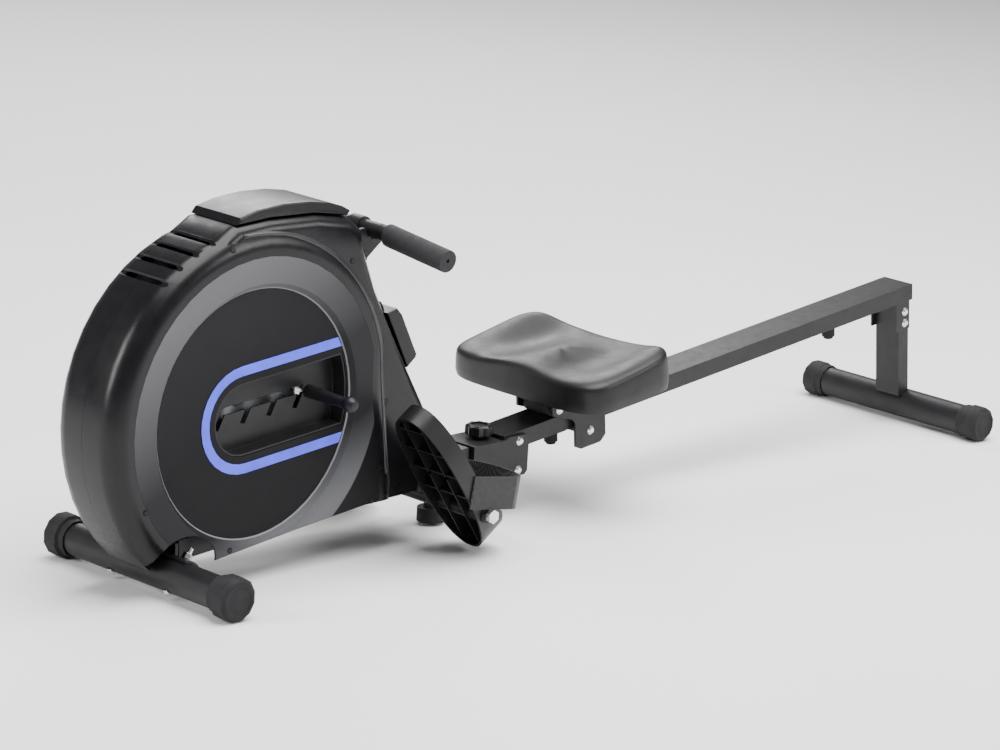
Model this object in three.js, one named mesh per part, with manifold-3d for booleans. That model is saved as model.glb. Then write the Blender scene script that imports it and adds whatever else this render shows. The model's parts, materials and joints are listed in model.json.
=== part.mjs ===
import * as THREE from 'three';
import { mergeVertices } from 'three/addons/utils/BufferGeometryUtils.js';
import Module from 'manifold-3d';

// Magnetic rowing machine. Millimetres, +Z up, X runs from the flywheel end to the seat end,
// the user's left side is -Y. Built about the front stabiliser, then centred on its own footprint.
const wasm = await Module();
wasm.setup();

const DEG = Math.PI / 180;
const GAP = 0.3;
const EPS = 0.01;

// Stabilisers and their end caps
const TUBE_R = 25;
const TUBE_WALL = 2;
const CAP_SIDES = 12;
const HALF_FACET = Math.PI / CAP_SIDES;
const FRONT_CAP_R = 33.5;
const REAR_CAP_R = 30;
const CAP_LENGTH = 42;
const CAP_NECK = 10;
const CAP_LIP = 5;
const CAP_RECESS = 1.5;
const FRONT_HALF = 200;
const REAR_HALF = 192;
const FRONT_Z = FRONT_CAP_R * Math.cos(HALF_FACET);
const REAR_Z = REAR_CAP_R * Math.cos(HALF_FACET);
const REAR_X = 1690;

// Sliding rail and the hinge it folds on
const SLOPE = 6.9;
const RAIL_W = 62;
const RAIL_H = 27.5;
const RAIL_WALL = 2.5;
const RAIL_X = 692;
const RAIL_Z = 126.2;
const RAIL_LENGTH = 979;
const PIVOT_S = 28;
const BOLT_R = 4;
const HOLE_R = 4.3;
const LUG_REACH = 34;
const LUG_HALF_W = 12;
const LUG_THICK = 4;

// Main beam
const BEAM_SLOPE = 4.6;
const BEAM_X0 = 34;
const BEAM_X1 = 621;
const BEAM_Z0 = 41.3;
const BEAM_H = 32;
const BEAM_W = 60;

// Hinge bracket
const FOOT_X = 572;
const BRACKET_X0 = 622;
const BRACKET_X1 = 742;
const BRACKET_Z0 = 60;
const BRACKET_Z1 = 121;
const BRACKET_IN = 31.6;
const BRACKET_T = 5;
const TOP_PLATE_X1 = 687;
const STOP_BOLT_Z = 69;
const KNOB_X = 667;
const KNOB_R = 22;

// Housing
const HUB_X = 141.5;
const HUB_Z = 252;
const FACE_R = 243;
const RIM = 31;
const HOUSING_HALF = 67;
const SHELL = 3;
const TAIL_HALF = 60;
const TAIL_RIM = 20;
const HOOD_HALF = 50;
const RECESS_R = 185;
const BEVEL = 9;
const PANEL_INSET = 9;

// Resistance window and gate
const WINDOW_TILT = 5.5;
const WINDOW_X = 121;
const WINDOW_Z = 246;
const WINDOW_R = 55;
const STRIPE_GAP = 11;
const STRIPE_W = 15;
const GATE_Y = -31;
const LEVER_X = 258;
const LEVER_Z = 266;
const LEVER_TILT = 4.5;
const LEVER_STEP = 51;
const LEVER_STEPS = 3;
const LEVER_R = 4.5;
const NOTCH_LENGTH = 24;

// Flywheel drive inside the housing
const FLYWHEEL_X = 135;
const FLYWHEEL_Z = 228;
const FLYWHEEL_R = 140;
const FLYWHEEL_T = 4;
const PULLEY_SMALL_R = 22;
const REEL_X = 305;
const REEL_Z = 330;
const PULLEY_BIG_R = 75;
const REEL_R = 38;
const BELT_Y = 33;
const BELT_W = 14;
const BELT_T = 2;
const CHEEK_IN = 23;

// Pedals
const PEDAL_X = 506;
const PEDAL_Z = 70;
const AXLE_R = 7;
const AXLE_HALF = 192;
const PEDAL_TILT = 55;
const PEDAL_Y = 133;
const PEDAL_HALF_W = 54;
const PEDAL_POWER = 2.3;
const PEDAL_HEEL = 66;
const PEDAL_TOE = 203;
const PEDAL_BACK = -19;
const PEDAL_FACE = 12;
const HEEL_LIP = 20;
const STRAP_RISE = 108;
const STRAP_AT = 48;
const STRAP_DROOP = 44;
const STRAP_W = 50;
const STRAP_T = 2.5;

// Seat and carriage, measured along the rail from its front end
const SEAT_S = 160;
const SEAT_HALF_X = 104;
const SEAT_HALF_Y = 164;
const SEAT_BASE = 42.5;
const SEAT_SKIRT = 46;
const CARRIAGE_IN = 36;
const CARRIAGE_T = 4;
const ROLLER_R = 14;
const ROLLER_HALF = 28;
const LOWER_ROLLER_R = 10;

// Handle
const HANDLE_X = 386;
const HANDLE_Z = 490;
const HANDLE_DROP = 16;
const HANDLE_HALF = 190;
const BAR_R = 12.5;
const GRIP_R = 17;
const GRIP_START = 66;

const steel = { color: 0x17181a, roughness: 0.45, metalness: 0.4 };
const chrome = { color: 0xc9ccd0, roughness: 0.2, metalness: 1 };
const plastic = { color: 0x141416, roughness: 0.4, metalness: 0 };
const silver = { color: 0x3a3b3e, roughness: 0.38, metalness: 0.3 };
const rubber = { color: 0x1b1b1c, roughness: 0.85, metalness: 0 };
const iron = { color: 0x55585c, roughness: 0.6, metalness: 0.8 };
const blue = { color: 0x6f7af0, roughness: 0.5, metalness: 0 };
const webbing = { color: 0x101011, roughness: 0.95, metalness: 0 };

const machine = new THREE.Group();
machine.name = 'rowing_machine';

function solid(geometry) {
  const bare = geometry.clone();
  bare.deleteAttribute('normal');
  bare.deleteAttribute('uv');
  const welded = mergeVertices(bare, EPS / 10);
  return new wasm.Manifold(new wasm.Mesh({
    numProp: 3,
    vertProperties: new Float32Array(welded.attributes.position.array),
    triVerts: new Uint32Array(welded.index.array),
  }));
}

function add(name, body, look) {
  const data = body.getMesh();
  const geometry = new THREE.BufferGeometry();
  geometry.setAttribute('position', new THREE.BufferAttribute(new Float32Array(data.vertProperties), 3));
  geometry.setIndex(Array.from(data.triVerts));
  geometry.computeVertexNormals();
  const mesh = new THREE.Mesh(geometry, new THREE.MeshStandardMaterial(look));
  mesh.name = name;
  machine.add(mesh);
}

const join = (...bodies) => bodies.reduce((sum, body) => sum.add(body));
const cut = (body, ...tools) => tools.reduce((rest, tool) => rest.subtract(tool), body);
const flip = (body) => body.mirror([0, 1, 0]);

function box(x0, x1, y0, y1, z0, z1) {
  const geometry = new THREE.BoxGeometry(x1 - x0, y1 - y0, z1 - z0);
  return solid(geometry.translate((x0 + x1) / 2, (y0 + y1) / 2, (z0 + z1) / 2));
}

// Round bar along Y
function bar(x, z, r, y0, y1, sides = 24) {
  const geometry = new THREE.CylinderGeometry(r, r, y1 - y0, sides);
  return solid(geometry.translate(x, (y0 + y1) / 2, z));
}

// Round bar along Z
function post(x, y, r, z0, z1, sides = 24) {
  const geometry = new THREE.CylinderGeometry(r, r, z1 - z0, sides);
  return solid(geometry.rotateX(Math.PI / 2).translate(x, y, (z0 + z1) / 2));
}

// Turned part about a Y axis; the profile is radius, y
function turned(profile, x, z, sides = 32, twist = 0) {
  const points = profile.map(([r, y]) => new THREE.Vector2(r, y));
  const geometry = new THREE.LatheGeometry(points, sides);
  const body = solid(geometry.rotateY(twist).translate(x, 0, z));
  return body.volume() < 0 ? solid(reversed(geometry)) : body;
}

function reversed(geometry) {
  const index = geometry.index.array;
  for (let i = 0; i < index.length; i += 3) {
    [index[i], index[i + 1]] = [index[i + 1], index[i]];
  }
  return geometry;
}

function outline(points) {
  return new THREE.Shape(points.map(([x, z]) => new THREE.Vector2(x, z)));
}

// Flat part drawn in the XZ plane and thickened along Y
function slab(points, y0, y1, rim = 0, inset = 0, steps = 4) {
  const geometry = new THREE.ExtrudeGeometry(outline(points), {
    depth: y1 - y0 - 2 * rim,
    bevelEnabled: rim > 0,
    bevelThickness: rim,
    bevelSize: rim,
    bevelOffset: -rim - inset,
    bevelSegments: steps,
    curveSegments: 24,
  });
  return solid(geometry.rotateX(Math.PI / 2).translate(0, y1 - rim, 0));
}

function arc(x, z, r, from, to, steps) {
  return Array.from({ length: steps + 1 }, (_, i) => {
    const angle = (from + ((to - from) * i) / steps) * DEG;
    return [x + r * Math.cos(angle), z + r * Math.sin(angle)];
  });
}

const onRail = (body) => body.rotate([0, -SLOPE, 0]).translate([RAIL_X, 0, RAIL_Z]);
const onBeam = (body) => body.rotate([0, -BEAM_SLOPE, 0]).translate([BEAM_X0, 0, BEAM_Z0]);
const onPedal = (body) => body.rotate([0, PEDAL_TILT, 0]).translate([PEDAL_X, 0, PEDAL_Z]);

function railPoint(s, h) {
  return [
    RAIL_X + s * Math.cos(SLOPE * DEG) - h * Math.sin(SLOPE * DEG),
    RAIL_Z + s * Math.sin(SLOPE * DEG) + h * Math.cos(SLOPE * DEG),
  ];
}

// Cross bolt with a domed head on the left and a hexagon nut on the right
function crossBolt(x, z, half, r = BOLT_R) {
  const head = 2 * r;
  const body = turned([
    [0, -half - r], [r, -half - r * 0.9], [head, -half - GAP], [r, -half - GAP],
    [r, half + r * 1.6], [0, half + r * 1.6],
  ], x, z, 12);
  return join(body, bar(x, z, head * 0.92, half + GAP, half + r * 1.3, 6));
}

function footCap(capR, x, z, half) {
  const bore = (TUBE_R + GAP) / Math.cos(HALF_FACET);
  const root = half - CAP_LENGTH;
  const neck = Math.max(capR - CAP_LIP, bore + 1.5);
  return turned([
    [0, half - CAP_LIP - CAP_RECESS], [bore, half - CAP_LIP - CAP_RECESS], [bore, root],
    [neck, root], [neck, root + CAP_NECK], [capR, root + CAP_NECK + 3],
    [capR, half - CAP_LIP], [capR - CAP_LIP, half], [capR * 0.7, half],
    [capR * 0.66, half - CAP_RECESS], [0, half - CAP_RECESS],
  ], x, z, CAP_SIDES, HALF_FACET);
}

function stabilizer(name, x, z, capR, half, tools) {
  const end = half - CAP_LIP - CAP_RECESS - GAP * 2;
  const tube = cut(bar(x, z, TUBE_R, -end, end, 24), bar(x, z, TUBE_R - TUBE_WALL, -end - 1, end + 1, 20));
  add(`${name}_stabilizer`, cut(tube, ...tools), steel);
  const cap = footCap(capR, x, z, half);
  add(`${name}_foot_right`, cap, rubber);
  add(`${name}_foot_left`, flip(cap), rubber);
}

// Bolts that clamp the beam's saddle on the front stabiliser, leaning back
const SADDLE_BOLT_Y = 62;
const SADDLE_LEAN = 36;
const SADDLE_T = 4;
const SADDLE_HALF = 84;

function leaning(body, y) {
  return body.rotate([0, SADDLE_LEAN, 0]).translate([0, y, FRONT_Z]);
}

function saddleBolt(y) {
  const shank = post(0, 0, BOLT_R, -TUBE_R - 3, TUBE_R + 22, 16);
  const dome = solid(new THREE.SphereGeometry(9, 12, 6, 0, 2 * Math.PI, 0, Math.PI));
  const head = dome.intersect(box(-20, 20, -20, 20, -20, -4)).translate([0, 0, -TUBE_R + 3.2]);
  const nut = post(0, 0, 8, TUBE_R + SADDLE_T + 2 * GAP, TUBE_R + SADDLE_T + 9, 6);
  return leaning(join(shank, head, nut), y);
}

function frontFrame() {
  const sides = [-SADDLE_BOLT_Y, SADDLE_BOLT_Y];
  const holes = sides.map((y) => leaning(post(0, 0, HOLE_R, -60, 60, 16), y));
  stabilizer('front', 0, FRONT_Z, FRONT_CAP_R, FRONT_HALF, holes);
  add('stabilizer_bolt_left', saddleBolt(-SADDLE_BOLT_Y), chrome);
  add('stabilizer_bolt_right', saddleBolt(SADDLE_BOLT_Y), chrome);

  const inner = TUBE_R + GAP;
  const wrap = [...arc(0, FRONT_Z, inner + SADDLE_T, -10, 95, 10), ...arc(0, FRONT_Z, inner, 95, -10, 10)];
  const beamFace = BEAM_X0 - BEAM_H * Math.sin(BEAM_SLOPE * DEG) - GAP;
  const shelf = box(inner, beamFace, -BEAM_W / 2, BEAM_W / 2, FRONT_Z, BEAM_Z0 + BEAM_H - 4);
  const gusset = cut(shelf, bar(0, FRONT_Z, inner + 1, -SADDLE_HALF, SADDLE_HALF));
  add('front_saddle', cut(join(slab(wrap, -SADDLE_HALF, SADDLE_HALF), gusset), ...holes), steel);

  const length = (BEAM_X1 - BEAM_X0) / Math.cos(BEAM_SLOPE * DEG) - 2;
  const wall = 2;
  const tube = cut(
    box(0, length, -BEAM_W / 2, BEAM_W / 2, 0, BEAM_H),
    box(-1, length + 1, -BEAM_W / 2 + wall, BEAM_W / 2 - wall, wall, BEAM_H - wall),
  );
  const sleeve = bar(PEDAL_X, PEDAL_Z, 13, -PEDAL_Y + PEDAL_HALF_W + 14, PEDAL_Y - PEDAL_HALF_W - 14);
  const sleeveOnly = cut(sleeve, onBeam(box(0, length, -BEAM_W / 2 + 1, BEAM_W / 2 - 1, 1, BEAM_H)));
  const bore = bar(PEDAL_X, PEDAL_Z, AXLE_R + GAP, -200, 200);
  add('main_beam', cut(join(onBeam(tube), sleeveOnly), bore), steel);

  const footTop = BEAM_Z0 + (FOOT_X - BEAM_X0) * Math.tan(BEAM_SLOPE * DEG) - 2;
  const middleFoot = join(post(FOOT_X, 0, 12, 12, footTop, 20), post(FOOT_X, 0, 22, 4, 26, 24));
  add('middle_foot', middleFoot, rubber);
}

function hingeBracket() {
  const out = BRACKET_IN + BRACKET_T;
  const cheek = [
    [BRACKET_X0, BRACKET_Z0], [BRACKET_X1 - 6, BRACKET_Z0], [BRACKET_X1, BRACKET_Z0 + 6],
    [BRACKET_X1, BRACKET_Z1 - 2], [BRACKET_X1 - 6, BRACKET_Z1 + 4], [700, BRACKET_Z1 + 4],
    [690, BRACKET_Z1], [BRACKET_X0, BRACKET_Z1],
  ];
  const [pivotX, pivotZ] = railPoint(PIVOT_S, -RAIL_H / 2);
  const plates = join(
    slab(cheek, -out, -BRACKET_IN),
    slab(cheek, BRACKET_IN, out),
    box(BRACKET_X0, TOP_PLATE_X1, -out + 1, out - 1, BRACKET_Z1 - 4, BRACKET_Z1),
    box(BRACKET_X0, BRACKET_X0 + 4, -out + 1, out - 1, BRACKET_Z0, BRACKET_Z1),
  );
  add('hinge_bracket', cut(
    plates,
    bar(pivotX, pivotZ, HOLE_R, -60, 60, 16),
    bar(pivotX, STOP_BOLT_Z, HOLE_R, -60, 60, 16),
    post(KNOB_X, 0, 5.3, BRACKET_Z1 - 20, BRACKET_Z1 + 20, 16),
  ), steel);
  add('hinge_bolt', crossBolt(pivotX, pivotZ, out), chrome);
  add('stop_bolt', crossBolt(pivotX, STOP_BOLT_Z, out), chrome);

  const lobes = 8;
  const petal = Array.from({ length: lobes * 4 }, (_, i) => {
    const angle = (i * 2 * Math.PI) / (lobes * 4);
    const r = KNOB_R - 2 + 2 * Math.cos(lobes * angle);
    return [r * Math.cos(angle), r * Math.sin(angle)];
  });
  const cap = slab(petal, -22, -4, 2.5, 0, 1).rotate([-90, 0, 0]).translate([KNOB_X, 0, BRACKET_Z1]);
  const lugTop = railPoint((KNOB_X - RAIL_X) / Math.cos(SLOPE * DEG), -RAIL_H / 2 + LUG_THICK / 2)[1];
  const stud = post(KNOB_X, 0, 5, lugTop + 1.2, BRACKET_Z1 + 8, 16);
  const neck = post(KNOB_X, 0, 11, BRACKET_Z1 + GAP, BRACKET_Z1 + 8, 20);
  const dish = post(KNOB_X, 0, 13, BRACKET_Z1 + 19.5, BRACKET_Z1 + 30, 20);
  add('lock_knob', cut(join(cap, stud, neck), dish), plastic);
}

function rail() {
  const half = RAIL_W / 2;
  const tube = cut(
    box(0, RAIL_LENGTH, -half, half, -RAIL_H, 0),
    box(RAIL_WALL, RAIL_LENGTH + 1, -half + RAIL_WALL, half - RAIL_WALL, -RAIL_H + RAIL_WALL, -RAIL_WALL),
  );
  const mid = -RAIL_H / 2;
  const lug = box(-LUG_REACH, 1, -LUG_HALF_W, LUG_HALF_W, mid - LUG_THICK / 2, mid + LUG_THICK / 2);
  const ear = box(944, RAIL_LENGTH - 1, 25.4, 28.4, -78, -RAIL_H + 1);
  const pivot = bar(PIVOT_S, mid, HOLE_R, -60, 60, 16);
  const boltHoles = [-46, -66].map((h) => bar(966, h, HOLE_R, -60, 60, 16));
  add('rail', onRail(cut(join(tube, lug, ear, flip(ear)), pivot, ...boltHoles)), steel);

  const inside = half - RAIL_WALL - GAP;
  const plug = box(RAIL_LENGTH - 18, RAIL_LENGTH + 1, -inside, inside, -RAIL_H + RAIL_WALL + GAP, -RAIL_WALL - GAP);
  const lid = box(RAIL_LENGTH + GAP, RAIL_LENGTH + 4, -half, half, -RAIL_H, 0);
  add('rail_end_cap', onRail(join(plug, lid)), plastic);

  const column = cut(
    box(954, 979, -25, 25, -196, -RAIL_H - 4),
    box(956, 977, -23, 23, -240, -RAIL_H),
  );
  const seatCut = bar(REAR_X, REAR_Z, TUBE_R + GAP, -60, 60, 32);
  add('rear_post', cut(onRail(cut(column, ...boltHoles)), seatCut), steel);
  stabilizer('rear', REAR_X, REAR_Z, REAR_CAP_R, REAR_HALF, []);
  add('post_bolt_upper', onRail(crossBolt(966, -46, 28.4)), chrome);
  add('post_bolt_lower', onRail(crossBolt(966, -66, 28.4)), chrome);

  const stopTop = -RAIL_H - GAP;
  add('front_stop', onRail(join(post(133, 0, 11, stopTop - 24, stopTop, 20), post(133, 0, 8, stopTop - 28, stopTop - 23, 20))), rubber);
  add('rear_stop', onRail(join(post(800, 0, 11, stopTop - 24, stopTop, 20), post(800, 0, 8, stopTop - 28, stopTop - 23, 20))), rubber);
}

// Moulded seat: two thigh hollows, a low nose ridge and raised rear corners
function seatHeight(u, v) {
  const rear = (u + 1) / 2;
  const corners = 20 * rear ** 1.5 * Math.min(1, Math.abs(v) * 1.25) ** 2;
  const nose = 13 * Math.exp(-((v / 0.24) ** 2)) * (1 - rear) ** 0.8;
  const hollow = -11 * Math.exp(-(((Math.abs(v) - 0.46) / 0.26) ** 2) - ((u - 0.05) / 0.62) ** 2);
  return SEAT_SKIRT + 3 + corners + nose + hollow;
}

function seatPad() {
  const around = 36;
  const power = 0.4;
  const rings = [0.2, 0.4, 0.58, 0.74, 0.87, 0.95, 0.985, 1, 1.012];
  const drops = [0, 0, 0, 0, 1, 4, 8, 14, 0];
  const points = [0, 0, seatHeight(0, 0)];
  const place = (t, i) => {
    const angle = (i * 2 * Math.PI) / around;
    const c = Math.cos(angle);
    const s = Math.sin(angle);
    return [t * Math.sign(c) * Math.abs(c) ** power, t * Math.sign(s) * Math.abs(s) ** power];
  };
  rings.forEach((t, k) => {
    for (let i = 0; i < around; i += 1) {
      const [u, v] = place(t, i);
      const z = k === rings.length - 1 ? 0 : seatHeight(Math.min(1, Math.max(-1, u)), v) - drops[k];
      points.push(u * SEAT_HALF_X, v * SEAT_HALF_Y, z);
    }
  });
  points.push(0, 0, 0);
  const index = [];
  const last = points.length / 3 - 1;
  const at = (k, i) => 1 + k * around + (i % around);
  for (let i = 0; i < around; i += 1) {
    index.push(0, at(0, i), at(0, i + 1));
    for (let k = 0; k + 1 < rings.length; k += 1) {
      index.push(at(k, i), at(k + 1, i), at(k + 1, i + 1), at(k, i), at(k + 1, i + 1), at(k, i + 1));
    }
    index.push(last, at(rings.length - 1, i + 1), at(rings.length - 1, i));
  }
  const geometry = new THREE.BufferGeometry();
  geometry.setAttribute('position', new THREE.Float32BufferAttribute(points, 3));
  geometry.setIndex(index);
  return onRail(solid(geometry).translate([SEAT_S, 0, SEAT_BASE]));
}

function carriage() {
  add('seat_pad', seatPad(), plastic);
  const out = CARRIAGE_IN + CARRIAGE_T;
  const front = SEAT_S - 62;
  const rear = SEAT_S + 56;
  const top = SEAT_BASE - GAP;
  const cheek = [
    [front, top], [front, top - 34], [front + 14, top - 40], [front + 44, top - 52], [front + 50, top - 60],
    [front + 50, -RAIL_H - 30], [front + 62, -RAIL_H - 36], [rear - 12, -RAIL_H - 36], [rear, -RAIL_H - 26],
    [rear, top],
  ];
  const rollerS = [front + 16, rear - 14];
  const lowerS = SEAT_S + 22;
  const lowerH = -RAIL_H - LOWER_ROLLER_R - GAP;
  const axleH = ROLLER_R + GAP;
  const holes = [
    ...rollerS.map((s) => bar(s, axleH, HOLE_R, -60, 60, 16)),
    bar(lowerS, lowerH, HOLE_R, -60, 60, 16),
  ];
  const body = join(
    slab(cheek, -out, -CARRIAGE_IN),
    slab(cheek, CARRIAGE_IN, out),
    box(front, rear, -out + 1, out - 1, top - 4, top),
  );
  add('seat_carriage', onRail(cut(body, ...holes)), steel);
  const wheel = (s, h, r, half) => {
    const tyre = turned([
      [HOLE_R + GAP, -half], [r - 2, -half], [r, -half + 2], [r, half - 2], [r - 2, half],
      [HOLE_R + GAP, half], [HOLE_R + GAP, -half],
    ], s, h, 16);
    return onRail(tyre);
  };
  add('roller_front', wheel(rollerS[0], axleH, ROLLER_R, ROLLER_HALF), rubber);
  add('roller_rear', wheel(rollerS[1], axleH, ROLLER_R, ROLLER_HALF), rubber);
  add('roller_lower', wheel(lowerS, lowerH, LOWER_ROLLER_R, ROLLER_HALF), rubber);
  add('roller_bolt_front', onRail(crossBolt(rollerS[0], axleH, out)), chrome);
  add('roller_bolt_rear', onRail(crossBolt(rollerS[1], axleH, out)), chrome);
  add('roller_bolt_lower', onRail(crossBolt(lowerS, lowerH, out)), chrome);
}

// Everything of the housing ends above this slanting lower edge
function belowHousing() {
  const edge = [
    [-260, 18], [47, 43], [216, 64], [364, 80], [438, 80], [640, 96], [640, -200], [-260, -200],
  ];
  const underside = slab(edge, -200, 200);
  const tubeWay = bar(0, FRONT_Z, TUBE_R + SADDLE_T + 5, -200, 200, 24);
  const arch = bar(0, 0, 57, 42, 200, 28).scale([1, 1, 0.72]).translate([14, 0, 50]);
  return join(underside, tubeWay, arch, flip(arch));
}

const faceEdge = (inset) => [
  ...arc(HUB_X, HUB_Z, FACE_R - inset, 17, 252, 30),
  [404 - inset, 10], [402 - inset, 100], [390 - inset, 170], [376 - inset, 261],
];

const tailEdge = [
  [40, 500], [95, 532], [160, 536], [250, 533], [318, 522], [345, 500], [352, 470], [380, 404],
  [420, 333], [460, 265], [495, 208], [528, 165], [538, 110], [538, 40], [120, 40], [60, 300],
];

function housing() {
  const tool = belowHousing();
  const shape = (inset) => join(
    slab(faceEdge(0), -HOUSING_HALF + inset, HOUSING_HALF - inset, RIM, inset - RIM, 4),
    slab(tailEdge, -TAIL_HALF + inset, TAIL_HALF - inset, TAIL_RIM, inset, 3),
  );
  const opening = slab(faceEdge(PANEL_INSET), -HOUSING_HALF - 9, -HOUSING_HALF + SHELL * 2);
  const strapSlot = box(320, 380, -20, 20, HANDLE_Z - 12, HANDLE_Z + 4);
  const louvres = Array.from({ length: 4 }, (_, i) => {
    const angle = (108 + i * 7) * DEG;
    const r = FACE_R + RIM + 2;
    return bar(HUB_X + r * Math.cos(angle), HUB_Z + r * Math.sin(angle), 7, -52, 52, 10);
  });
  const keepOut = bar(PEDAL_X, PEDAL_Z, 18, -200, 200);
  const beamWay = onBeam(box(-20, 620, -BEAM_W / 2 - 1, BEAM_W / 2 + 1, -60, BEAM_H + 1));
  const shell = cut(shape(0), shape(SHELL), opening, flip(opening), tool, strapSlot, keepOut, beamWay, ...louvres);
  add('housing_left', shell.intersect(box(-300, 700, -200, -GAP / 2, -100, 700)), plastic);
  add('housing_right', shell.intersect(box(-300, 700, GAP / 2, 200, -100, 700)), plastic);

  const hoodEdge = [
    [98, 532.9], [160, 536.6], [250, 533.6], [316, 523.1], [322, 530], [306, 538], [278, 547],
    [240, 553], [190, 555], [140, 551], [106, 543],
  ];
  const drumTop = bar(HUB_X, HUB_Z, FACE_R + RIM + 1, -200, 200, 60);
  add('top_hood', cut(slab(hoodEdge, -HOOD_HALF, HOOD_HALF, 3.5, 0, 2), drumTop), plastic);
}

function stadium(grow, far) {
  const r = WINDOW_R + grow;
  const cosT = Math.cos(WINDOW_TILT * DEG);
  const sinT = Math.sin(WINDOW_TILT * DEG);
  const left = arc(WINDOW_X, WINDOW_Z, r, 90 + WINDOW_TILT, 270 + WINDOW_TILT, 16);
  const x = WINDOW_X + far * cosT;
  const z = WINDOW_Z + far * sinT;
  return [...left, [x + r * sinT, z - r * cosT], [x - r * sinT, z + r * cosT]];
}

const FACE_Y = -HOUSING_HALF;
const DISC_Y = FACE_Y + BEVEL;

function sidePanel() {
  const plate = slab(faceEdge(PANEL_INSET + GAP), FACE_Y, FACE_Y + SHELL);
  const rim = RECESS_R + BEVEL;
  const dish = turned([
    [0, DISC_Y], [RECESS_R, DISC_Y], [rim, FACE_Y], [rim + 3, FACE_Y], [rim + 3, FACE_Y + SHELL],
    [rim + 1, FACE_Y + SHELL], [RECESS_R + 2, DISC_Y + SHELL], [0, DISC_Y + SHELL],
  ], HUB_X, HUB_Z, 44);
  const open = bar(HUB_X, HUB_Z, rim + 2, -200, 0, 44);
  return cut(join(cut(plate, open), dish), belowHousing());
}

function lookThrough() {
  const reach = bar(HUB_X, HUB_Z, RECESS_R - 3, -200, 0, 44);
  const window = slab(stadium(0, 260), -100, -40).intersect(reach);
  add('side_panel_left', cut(sidePanel(), window), silver);
  add('side_panel_right', flip(sidePanel()), silver);

  const stripe = cut(slab(stadium(STRIPE_GAP + STRIPE_W, 260), DISC_Y - 1.1, DISC_Y - GAP),
    slab(stadium(STRIPE_GAP, 260), -100, -40));
  add('blue_stripe', stripe.intersect(bar(HUB_X, HUB_Z, RECESS_R - 1, -200, 0, 44)), blue);

  const inner = bar(HUB_X, HUB_Z, RECESS_R - 3 - GAP, -200, 0, 44);
  const hollow = bar(HUB_X, HUB_Z, RECESS_R - 6, -200, 0, 44);
  const tub = cut(
    slab(stadium(-GAP, 260), DISC_Y + 1, GATE_Y + 2).intersect(inner),
    slab(stadium(-3, 260), -100, GATE_Y - 0.5).intersect(hollow),
  );
  const reach2 = LEVER_STEP * LEVER_STEPS;
  const slot = slab([
    ...arc(0, 0, LEVER_R + 1.2, -90, 90, 8),
    ...arc(-reach2, 0, LEVER_R + 1.2, 90, 270, 8),
  ], -100, 0);
  const notches = Array.from({ length: LEVER_STEPS + 1 }, (_, i) => {
    const x = -i * LEVER_STEP;
    return slab([[x - 5.7, 0], [x - 19, -NOTCH_LENGTH], [x - 11, -NOTCH_LENGTH - 3], [x + 5.5, 0]], -100, 0);
  });
  const gate = join(slot, ...notches).rotate([0, -LEVER_TILT, 0]).translate([LEVER_X, 0, LEVER_Z]);
  add('gate_tub', cut(tub, gate), plastic);

  const rod = join(
    bar(LEVER_X, LEVER_Z, LEVER_R, GATE_Y - 32, GATE_Y + 10, 20),
    box(LEVER_X - 10, LEVER_X + 10, GATE_Y + 3, GATE_Y + 9, LEVER_Z - 9, LEVER_Z + 9),
  );
  add('resistance_lever', rod, chrome);
  const knob = turned([
    [0, -116], [7, -114.5], [11, -110], [12.5, -104], [11, -98], [8, -94], [8, -88], [9.5, -48],
    [10.5, -14], [7, -10], [LEVER_R + GAP, -10], [LEVER_R + GAP, -33], [0, -33],
  ].map(([radius, y]) => [radius, y + GATE_Y]), LEVER_X, LEVER_Z, 14);
  add('lever_knob', knob, plastic);
}

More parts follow.
